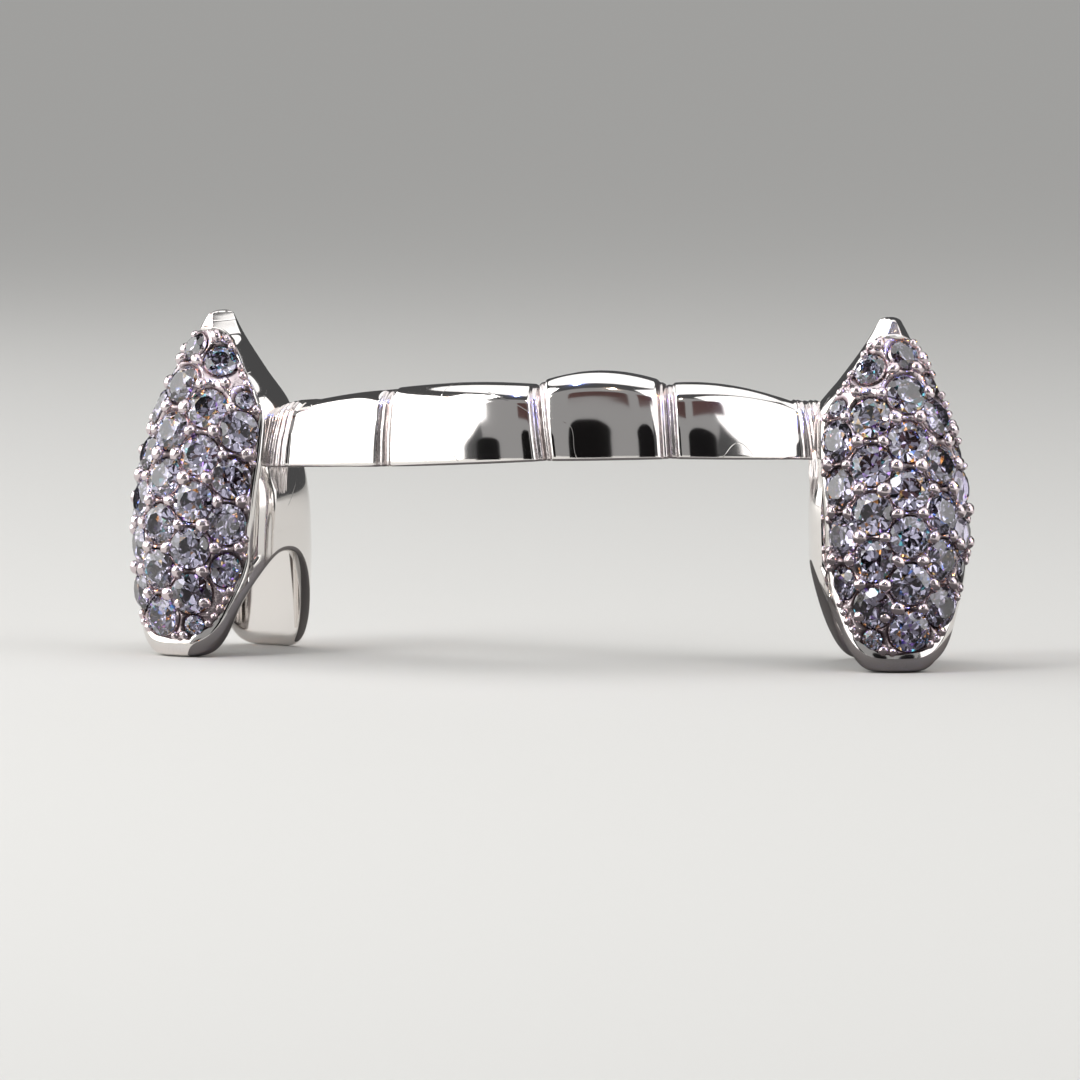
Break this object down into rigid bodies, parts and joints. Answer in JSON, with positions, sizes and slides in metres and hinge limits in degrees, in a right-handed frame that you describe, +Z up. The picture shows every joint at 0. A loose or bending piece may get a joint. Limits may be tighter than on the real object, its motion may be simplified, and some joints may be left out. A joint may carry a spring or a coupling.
{
  "type": "front bar fang grillz",
  "caption": "Lower tooth jewellery: hollow pointed canine caps with stone-set faces, joined by a polished bar that goes over the edges of the incisors between them.",
  "frame": {"origin": "middle of the footprint, on the surface that the gum rims stand on", "axes": "+X toward the viewer's right along the row of teeth, +Y toward the tongue, +Z up toward the fang tips"},
  "size_m": [0.0344, 0.0096, 0.0138],
  "materials": {
    "polished_metal": "polished",
    "pave_stones": "cut and polished"
  },
  "bodies": {
    "root": {"bar_and_fang_caps": "polished_metal", "left_pave": "pave_stones", "right_pave": "pave_stones"}
  },
  "joints": []
}
